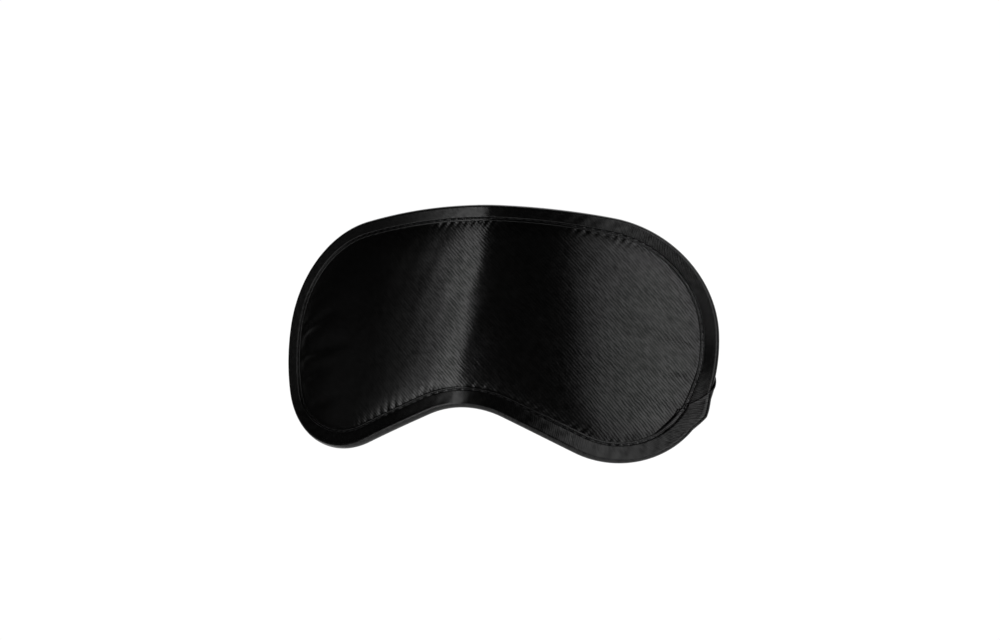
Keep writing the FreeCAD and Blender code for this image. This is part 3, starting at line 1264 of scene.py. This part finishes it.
    def build_tape(self) -> bpy.types.Object:
        """Make the tape round the whole edge.

        Returns:
            The finished piece.
        """
        outer, normal = self.section.profile()
        inner = (outer - normal * self.section.wall)[::-3]
        loop = np.concatenate([outer, inner])
        index = np.arange(len(self.form.edge))
        run = index * self.form.outline.spacing
        change_in, change_up = self._waver(run, loop)
        inset = loop[None, :, 0] + change_in
        rise = loop[None, :, 1] + change_up
        rise = rise + self._strap_bulge(index, rise)
        rows = np.broadcast_to(index[:, None], inset.shape)
        points = self._place(rows, inset, rise).reshape(-1, 3)
        faces = grid_faces(len(index), len(loop), closed_rows=True, closed_columns=True)
        piece = mesh_object("binding", points, faces)
        across = distance_along(outer)
        self._lay_tape_uv(piece, run, np.concatenate([across, across[::-3]]))
        piece.data.materials.append(self.finish.material())
        across_fold(piece, "binding")
        return piece

    def _lay_tape_uv(self, piece: bpy.types.Object, run: np.ndarray, across: np.ndarray) -> None:
        """Lay a UV map in metres along the tape and across it, running on past its start at the end.

        Args:
            piece: the tape, one row of vertices per section.
            run: distance along the edge of each section.
            across: distance across the tape of each section point.
        """
        columns = len(across)
        index = np.empty(len(piece.data.loops), dtype=np.int32)
        piece.data.loops.foreach_get("vertex_index", index)
        row, column = index // columns, index % columns
        along = run[row].copy()
        polygon_rows = along.reshape(-1, 4)
        turn = self.form.perimeter
        wraps = (np.ptp(polygon_rows, axis=1) > turn / 2)[:, None]
        polygon_rows += np.where(wraps & (polygon_rows < turn / 2), turn, 0)
        layer = piece.data.uv_layers.new(name="cloth")
        uv = np.stack([polygon_rows.ravel(), across[column]], axis=1).astype(np.float32)
        layer.data.foreach_set("uv", uv.ravel())

    def build_lap(self) -> bpy.types.Object:
        """Make the folded end of the tape, lying slantwise over the tape and running down into it.

        Returns:
            The finished piece.
        """
        form, step = self.form, self.form.outline.spacing
        outer, normal = self.section.profile()
        across = distance_along(outer)
        edge_across = across[np.argmin(outer[:, 0])]
        right = np.arange(len(form.edge) // 2)
        below = right[form.edge[right, 1] < self.lap_height]
        first = below[below > right[np.argmax(form.edge[right, 0])]][0] * step
        # The slanting end has close rows where it is folded, then the tape goes on to run under.
        share = np.concatenate([np.linspace(0, 0.06, 6)[:-1], np.linspace(0.06, 1, 50)])
        start = first + self.lap_slope * (edge_across - across) * 0.95
        finish = first + self.lap_length + self.lap_slope * 4 * MM
        run = start[None, :] + share[:, None] * (finish - start[None, :])
        reach = run - start[None, :]
        laid = 1 - smooth(9 * MM, 20 * MM, reach)
        lift = self.lap_rise * laid - self.lap_sink * smooth(12 * MM, 22 * MM, reach)
        lift = lift + self.lap_fold * hump(reach, 0.7 * MM, 0.8 * MM)
        inset, rise = outer[None, :, 0], outer[None, :, 1]
        corner = self.lap_corner * np.maximum(0, 1 - np.abs(run - first - 14.5 * MM) / (7 * MM))
        corner = corner * (1 - smooth(0.3 * MM, 4.4 * MM, inset))
        spread = self.lap_spread * self._past_seam(inset) * laid - corner
        layers = []
        for depth in (0.0, self.section.wall):
            out = inset + normal[None, :, 0] * (lift - depth) + spread
            up = rise + normal[None, :, 1] * (lift - depth)
            layers.append(self._between(run, out, up).reshape(-1, 3))
        piece = mesh_object("binding_lapped_end", np.concatenate(layers), self._shell_faces(*run.shape))
        place = np.stack([run.ravel(), np.broadcast_to(across, run.shape).ravel()], axis=1)
        lay_uv(piece, np.concatenate([place, place]))
        piece.data.materials.append(self.finish.material())
        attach(piece, "right_half")
        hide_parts("binding_lap")
        return piece

    @staticmethod
    def _shell_faces(rows: int, columns: int) -> list[tuple[int, ...]]:
        """Faces of a thin shell: an outer grid, an inner grid numbered after it, and their rim.

        Args:
            rows: rows of each grid.
            columns: columns of each grid.

        Returns:
            Vertex indices of each face.
        """
        quads = grid_faces(rows, columns)
        count = rows * columns
        grid = np.arange(count).reshape(rows, columns)
        ring = [*grid[0], *grid[1:, -1], *grid[-1, -2::-1], *grid[-2:0:-1, 0]]
        rim = [(b, b + count, a + count, a) for a, b in zip(ring, ring[1:] + ring[:1])]
        return [*map(tuple, quads), *map(tuple, quads[:, ::-1] + count), *rim]

    def seam_path(self) -> np.ndarray:
        """Line of the stitches, along the groove of the front leg.

        Returns:
            One row of X, Y, Z per edge point.
        """
        section, index = self.section, np.arange(len(self.form.edge))
        leg = section.leg_height(section.groove_place, section.front_leg, section.front_drop)
        rise = leg - section.groove_depth + self.thread_lift
        return self._place(index, np.full(len(index), section.groove_place), np.full(len(index), rise))


def path_object(name: str, points: np.ndarray, closed: bool) -> bpy.types.Object:
    """Mesh of edges along a path, for a node tree to follow.

    Args:
        name: name of the object and its mesh.
        points: points of the path in metres.
        closed: join the last point to the first.

    Returns:
        The new object.
    """
    mesh = bpy.data.meshes.new(name)
    count = len(points)
    edges = [(i, (i + 1) % count) for i in range(count if closed else count - 1)]
    mesh.from_pydata([tuple(map(float, p)) for p in points], edges, [])
    return in_scene(name, mesh)


def grow(
    piece: bpy.types.Object, tree: bpy.types.NodeTree, values: dict[str, object]
) -> bpy.types.Object:
    """Run a geometry node tree on a piece and keep the result as its plain mesh.

    Args:
        piece: object whose mesh the tree reads.
        tree: geometry node tree.
        values: value of each named input of the tree.

    Returns:
        The same object, with the finished mesh and no modifier.
    """
    modifier = piece.modifiers.new("grow", "NODES")
    modifier.node_group = tree
    for item in tree.interface.items_tree:
        if item.item_type == "SOCKET" and item.in_out == "INPUT" and item.name in values:
            modifier[item.identifier] = values[item.name]
    graph = bpy.context.evaluated_depsgraph_get()
    result = bpy.data.meshes.new_from_object(piece.evaluated_get(graph), depsgraph=graph)
    piece.modifiers.remove(modifier)
    piece.data = result
    return piece


def new_tree(
    name: str, sockets: dict[str, str]
) -> tuple[bpy.types.NodeTree, bpy.types.Node, bpy.types.Node]:
    """Start a geometry node tree with named inputs.

    Args:
        name: name of the tree.
        sockets: input name to kind of socket, after the geometry.

    Returns:
        The tree, its input node and its output node.
    """
    tree = bpy.data.node_groups.new(name, "GeometryNodeTree")
    tree.interface.new_socket("Geometry", in_out="INPUT", socket_type="NodeSocketGeometry")
    for label, kind in sockets.items():
        tree.interface.new_socket(label, in_out="INPUT", socket_type=f"NodeSocket{kind}")
    tree.interface.new_socket("Geometry", in_out="OUTPUT", socket_type="NodeSocketGeometry")
    return tree, add(tree, "NodeGroupInput"), add(tree, "NodeGroupOutput")


def stitch_tree() -> bpy.types.NodeTree:
    """Row of stitches along a path: one slim bead of thread per stitch.

    Returns:
        The tree, with inputs Pitch, Length, Radius and Material.
    """
    kinds = {"Pitch": "Float", "Length": "Float", "Radius": "Float", "Material": "Material"}
    tree, given, out = new_tree("stitch_row", kinds)
    curve = add(tree, "GeometryNodeMeshToCurve", {"Mesh": given.outputs["Geometry"]})
    even = add(
        tree,
        "GeometryNodeResampleCurve",
        {"Curve": curve.outputs[0], "Length": given.outputs["Pitch"]},
        mode="LENGTH",
    )
    bead = add(tree, "GeometryNodeMeshUVSphere", {"Segments": 8, "Rings": 6, "Radius": 1.0})
    half = add(tree, "ShaderNodeMath", {0: given.outputs["Length"], 1: 0.5}, operation="MULTIPLY")
    size = add(
        tree,
        "ShaderNodeCombineXYZ",
        {"X": half.outputs[0], "Y": given.outputs["Radius"], "Z": given.outputs["Radius"]},
    )
    tangent = add(tree, "GeometryNodeInputTangent")
    turn = add(tree, "FunctionNodeAlignRotationToVector", {"Vector": tangent.outputs[0]}, axis="X")
    row = add(
        tree,
        "GeometryNodeInstanceOnPoints",
        {
            "Points": even.outputs[0],
            "Instance": bead.outputs["Mesh"],
            "Rotation": turn.outputs[0],
            "Scale": size.outputs[0],
        },
    )
    real = add(tree, "GeometryNodeRealizeInstances", {"Geometry": row.outputs[0]})
    soft = add(tree, "GeometryNodeSetShadeSmooth", {"Geometry": real.outputs[0]})
    dressing = {"Geometry": soft.outputs[0], "Material": given.outputs["Material"]}
    dressed = add(tree, "GeometryNodeSetMaterial", dressing)
    tree.links.new(dressed.outputs[0], out.inputs[0])
    return tree


def thread_tree() -> bpy.types.NodeTree:
    """Round thread along a path.

    Returns:
        The tree, with inputs Radius and Material.
    """
    tree, given, out = new_tree("laid_thread", {"Radius": "Float", "Material": "Material"})
    curve = add(tree, "GeometryNodeMeshToCurve", {"Mesh": given.outputs["Geometry"]})
    size = {"Resolution": 8, "Radius": given.outputs["Radius"]}
    ring = add(tree, "GeometryNodeCurvePrimitiveCircle", size)
    tube = add(
        tree,
        "GeometryNodeCurveToMesh",
        {"Curve": curve.outputs[0], "Profile Curve": ring.outputs[0], "Fill Caps": True},
    )
    soft = add(tree, "GeometryNodeSetShadeSmooth", {"Geometry": tube.outputs[0]})
    real = add(tree, "GeometryNodeRealizeInstances", {"Geometry": soft.outputs[0]})
    dressing = {"Geometry": real.outputs[0], "Material": given.outputs["Material"]}
    dressed = add(tree, "GeometryNodeSetMaterial", dressing)
    tree.links.new(dressed.outputs[0], out.inputs[0])
    return tree


@dataclass
class SeamThread:
    """Row of machine stitches that holds the binding."""

    binding: Binding
    finish: YarnFinish
    length: float = 3.0 * MM
    radius: float = 0.15 * MM

    def build(self) -> bpy.types.Object:
        """Make the stitches.

        Returns:
            The finished piece.
        """
        path = path_object("seam_thread", self.binding.seam_path(), closed=True)
        values = {
            "Pitch": STITCH_PITCH,
            "Length": self.length,
            "Radius": self.radius,
            "Material": self.finish.material(),
        }
        piece = grow(path, stitch_tree(), values)
        across_fold(piece, "seam_thread")
        return piece


@dataclass
class ElasticStrap:
    """Flat woven elastic: its end sewn under the binding, then a bow to the middle of the loop."""

    form: MaskForm
    finish: YarnFinish
    thread: YarnFinish
    thickness: float = 1.0 * MM
    bow: float = 20.0
    tail: float = 6.0 * MM
    tail_rise: float = -1.65 * MM
    step: float = 0.3 * MM
    smoothings: int = 24
    ribs: int = 11
    rib_depth: float = 0.09 * MM
    tack_threads: int = 15
    tack_place: tuple[float, float] = (2.6 * MM, 4.8 * MM)
    tack_margin: float = 0.7 * MM
    tack_lift: float = 0.62 * MM
    tack_radius: float = 0.16 * MM

    @staticmethod
    def hinge(side: Side) -> Vector:
        """Place of the strap's hinge, from the frame."""
        joint = next(j for j in frame["joints"] if j["name"] == f"strap_{side.name.lower()}_swing")
        return Vector(joint["pos_m"])

    def path(self) -> tuple[np.ndarray, np.ndarray]:
        """Plan of the right strap half.

        Returns:
            Points from the sewn end to the middle of the loop, and the outward unit normal at each.
        """
        hinge = np.array(self.hinge(Side.RIGHT))[:2]
        end = np.array([0.0, 2 * hinge[1]])
        chord = end - hinge
        bow = math.radians(self.bow)
        radius = np.linalg.norm(chord) / (2 * math.sin(bow))
        inward = np.array([-chord[1], chord[0]]) / np.linalg.norm(chord)
        centre = hinge + chord / 2 + inward * radius * math.cos(bow)
        first = math.atan2(*(hinge - centre)[::-1])
        turns = first + np.linspace(0.02, 2 * bow, 200)
        arc = centre + radius * np.stack([np.cos(turns), np.sin(turns)], axis=1)
        across = hinge[0] + np.linspace(self.tail, 0.7 * MM, 20)
        sewn = self.form.to_space(across, np.zeros(20), np.full(20, self.tail_rise))[:, :2]
        rough = np.concatenate([sewn, arc])
        run = distance_along(rough)
        points = at_distance(np.arange(0, run[-1], self.step), run, rough)
        for _ in range(self.smoothings):
            points[1:-1] = (points[:-2] + 2 * points[1:-1] + points[2:]) / 4
        # Close points only where the strap turns out of the seam.
        keep = np.concatenate([np.arange(0, 50), np.arange(50, len(points) - 1, 3)])
        points = np.concatenate([points[keep], end[None]])
        along = np.gradient(points, axis=0)
        along[-1] = (-1, 0)
        return points, to_right(along)

    def section(self) -> np.ndarray:
        """Closed section of the strap: place across its width, and distance from its middle.

        Returns:
            Points (across, out) round the section.
        """
        count = self.ribs * 4
        across = np.linspace(-1, 1, count + 1)
        edge = np.sqrt(np.clip(1 - np.abs(across) ** 14, 0, 1))
        rib = self.rib_depth * np.cos(across * self.ribs * math.pi)
        half = self.thickness / 2 * edge + rib * edge - self.rib_depth
        outer = np.stack([across * STRAP_WIDTH / 2, half], axis=1)
        inner = (outer * (1, -1))[-2:0:-1]
        return np.concatenate([outer, inner])

    def build_half(self, side: Side) -> bpy.types.Object:
        """Make one half of the strap.

        Args:
            side: which half of the mask it is sewn to.

        Returns:
            The finished piece.
        """
        points, normal = self.path()
        section = self.section()
        cap = np.radians(np.linspace(0, 85, 5))[1:]
        places = [*points, *(points[-1] - (self.thickness / 2 * math.sin(a), 0) for a in cap)]
        outs = [*normal, *(normal[-1] * math.cos(a) for a in cap)]
        plan = np.array(places)[:, None] + np.array(outs)[:, None] * section[None, :, 1:]
        height = np.broadcast_to(STRAP_HEIGHT + section[:, 0], plan.shape[:2])
        space = np.stack([plan[..., 0] * side.value, plan[..., 1], height], axis=-1).reshape(-1, 3)
        rows, count = plan.shape[:2]
        faces = [tuple(f) for f in grid_faces(rows, count, closed_columns=True)]
        faces.append(tuple(range(count)))
        faces.append(tuple(range((rows - 1) * count, rows * count))[::-1])
        if side is Side.RIGHT:
            faces = [f[::-1] for f in faces]
        name = side.name.lower()
        piece = mesh_object(f"strap_{name}", space, faces)
        run = distance_along(np.array(places))
        lay_uv(piece, np.column_stack([np.repeat(run, count), np.tile(section[:, 0], rows)]))
        piece.data.materials.append(self.finish.material())
        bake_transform(piece)
        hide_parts(f"strap_end_{name}", f"elastic_strap_{name}")
        return piece

    def build_tack(self, side: Side) -> bpy.types.Object:
        """Make the zigzag bar tack over the sewn strap end.

        Args:
            side: which half of the mask it is on.

        Returns:
            The finished piece.
        """
        hinge = self.hinge(side)
        share = np.linspace(-1, 1, 2 * self.tack_threads + 1)
        heights = share * (STRAP_WIDTH / 2 - self.tack_margin) + STRAP_HEIGHT
        near, far = (abs(hinge.x) + place for place in self.tack_place)
        across = np.where(np.arange(len(heights)) % 2 == 0, near, far)
        rise = np.full(len(heights), self.tail_rise - self.thickness / 2 - self.tack_lift)
        points = self.form.to_space(across, heights, rise)
        points[:, 0] *= side.value
        name = side.name.lower()
        piece = path_object(f"strap_tack_{name}_thread", points, closed=False)
        values = {"Radius": self.tack_radius, "Material": self.thread.material()}
        piece = grow(piece, thread_tree(), values)
        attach(piece, f"{name}_half")
        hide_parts(f"strap_tack_{name}")
        return piece


# ---------------------------------------------------------------- studio


def towards(azimuth: float, elevation: float) -> Vector:
    """Unit vector towards an azimuth from the front and an elevation, in degrees."""
    turn, lift = math.radians(azimuth), math.radians(elevation)
    return Vector((math.sin(turn) * math.cos(lift), -math.cos(turn) * math.cos(lift), math.sin(lift)))


@dataclass(frozen=True)
class SoftBox:
    """Area light round the mask: where it stands, its size and its power."""

    name: str
    azimuth: float
    elevation: float
    distance: float
    width: float
    height: float
    power: float

    def place(self, aim: Vector) -> bpy.types.Object:
        """Put the light in the scene, facing the aim.

        Args:
            aim: point that the light faces.

        Returns:
            The light's object.
        """
        light = bpy.data.lights.new(self.name, "AREA")
        light.shape, light.size, light.size_y = "RECTANGLE", self.width, self.height
        light.energy = self.power
        holder = in_scene(self.name, light)
        away = towards(self.azimuth, self.elevation)
        holder.location = aim + away * self.distance
        holder.rotation_euler = away.to_track_quat("Z", "Y").to_euler()
        return holder


@dataclass
class Studio:
    """Pale floor, white surroundings, soft boxes and the camera."""

    aim: Vector = field(default_factory=lambda: Vector((0, 14.5 * MM, -1.7 * MM)))
    azimuth: float = 18.0
    elevation: float = -8.66
    roll: float = 4.07
    distance: float = 0.4767
    lens: float = 42.81
    sensor: float = 36.0
    shift: tuple[float, float] = (0.0162, 0.0225)
    floor_height: float = -0.42
    floor_radius: float = 0.75
    backdrop: float = 1.02
    wall_reach: tuple[float, float] = (0.15, 0.7)
    wall_light: tuple[float, float] = (0.012, 0.5)
    ceiling_way: tuple[float, float, float] = (0, 0.64, 0.77)
    ceiling_reach: tuple[float, float] = (0.6, 0.9)
    ceiling_light: tuple[float, float] = (0.0, 1.6)
    lights: tuple[SoftBox, ...] = (
        SoftBox("right_box", 61, 8, 0.8, 0.43, 0.92, 1.6),
        SoftBox("right_falloff", 39, 8, 0.8, 0.218, 0.92, 0.535),
        SoftBox("ridge_box", -25, 6, 0.8, 0.16, 0.92, 0.87),
        SoftBox("ridge_falloff", -37, -3, 0.8, 0.17, 0.72, 0.21),
        SoftBox("left_falloff", -50, -3, 0.8, 0.20, 0.66, 0.045),
        SoftBox("left_box", -69, -2, 0.8, 0.33, 0.34, 0.018),
        SoftBox("low_left_box", -36, -20, 0.8, 0.5, 0.26, 0.4),
        SoftBox("front_fill", 8, 6, 0.8, 0.6, 0.7, 0.02),
        SoftBox("low_back_box", -115, -32, 0.36, 0.24, 0.12, 0.05),
    )

    def build_camera(self) -> None:
        """Set up the camera."""
        turn, roll = math.radians(self.azimuth), math.radians(self.roll)
        right = Vector((math.cos(turn), math.sin(turn), 0))
        back = towards(self.azimuth, self.elevation)
        up = back.cross(right)
        across = right * math.cos(roll) + up * math.sin(roll)
        upward = up * math.cos(roll) - right * math.sin(roll)
        camera = bpy.data.cameras.new("camera")
        camera.lens, camera.sensor_width = self.lens, self.sensor
        camera.shift_x, camera.shift_y = self.shift
        camera.clip_start = 0.01
        holder = in_scene("camera", camera)
        basis = Matrix((across, upward, back)).transposed().to_4x4()
        holder.matrix_world = Matrix.Translation(self.aim + back * self.distance) @ basis
        bpy.context.scene.camera = holder

    def build_floor(self, sides: int = 64) -> None:
        """Lay the pale round floor well below the mask, with this many sides.

        Args:
            sides: number of sides of the round floor.
        """
        turns = np.linspace(0, 2 * math.pi, sides, endpoint=False)
        rim = np.column_stack([np.cos(turns), np.sin(turns)]) * self.floor_radius
        points = np.column_stack([rim, np.full(sides, self.floor_height)])
        floor = mesh_object("floor", points, [tuple(range(sides))])
        floor.data.materials.append(PaintFinish().material())

    def build_world(self) -> None:
        """White surroundings to the eye, and a dim room with a bright far wall to the cloth."""
        world = bpy.data.worlds.new("studio")
        world.use_nodes = True
        tree = world.node_tree
        tree.nodes.clear()
        eye = add(tree, "ShaderNodeLightPath")
        way = add(tree, "ShaderNodeTexCoord").outputs["Generated"]
        parts = add(tree, "ShaderNodeSeparateXYZ", {"Vector": way})
        above = add(
            tree, "ShaderNodeVectorMath", {0: way, 1: self.ceiling_way}, operation="DOT_PRODUCT"
        )
        shades = []
        for reach, (start, full), (dim, bright) in (
            (parts.outputs["Y"], self.wall_reach, self.wall_light),
            (above.outputs["Value"], self.ceiling_reach, self.ceiling_light),
        ):
            ramp = {"Value": reach, "From Min": start, "From Max": full}
            light = {"To Min": dim, "To Max": bright}
            shades.append(add(tree, "ShaderNodeMapRange", ramp | light).outputs["Result"])
        brighter = add(tree, "ShaderNodeMath", dict(enumerate(shades)), operation="MAXIMUM")
        room, white = (
            add(tree, "ShaderNodeBackground", {"Color": linear("#ffffff"), "Strength": strength})
            for strength in (brighter.outputs[0], self.backdrop)
        )
        mixed = add(
            tree,
            "ShaderNodeMixShader",
            {0: eye.outputs["Is Camera Ray"], 1: room.outputs[0], 2: white.outputs[0]},
        )
        add(tree, "ShaderNodeOutputWorld", {"Surface": mixed.outputs[0]})
        bpy.context.scene.world = world

    def build(self) -> None:
        """Set up everything round the mask."""
        bpy.context.scene.view_settings.view_transform = "Standard"
        self.build_camera()
        self.build_floor()
        self.build_world()
        for light in self.lights:
            light.place(self.aim)


def main() -> None:
    """Dress the mask and set the studio."""
    logging.basicConfig(level=logging.INFO)
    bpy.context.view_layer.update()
    Studio().build()
    form, layers = MaskForm(), Layers()
    tape_satin = SatinFinish(
        name="satin_bias_tape",
        glossiest=0.17,
        dullest=0.28,
        anisotropy=0.3,
        thread_pitch=0.6 * MM,
        grain_depth=0.03 * MM,
    )
    sewing = YarnFinish("sewing_thread")
    binding = Binding(form, TapeSection(), tape_satin)
    strap = ElasticStrap(form, YarnFinish("woven_elastic", twist_pitch=0.5 * MM), sewing)
    builds: list[Callable[[], bpy.types.Object]] = [
        Padding(form, layers, YarnFinish("polyester_wadding", "#2a2a2c", "#4a4a4d", 0.9)).build,
        FrontPanel(form, layers, SatinFinish(), Settling(form, layers).run()).build,
        Lining(form, layers, LiningFinish()).build,
        binding.build_tape,
        binding.build_lap,
        SeamThread(binding, sewing).build,
    ]
    for side in Side:
        builds += [partial(strap.build_half, side), partial(strap.build_tack, side)]
    for build in builds:
        piece = build()
        LOG.info("%s: %d faces", piece.name, len(piece.data.polygons))


if __name__ == "__main__":
    main()
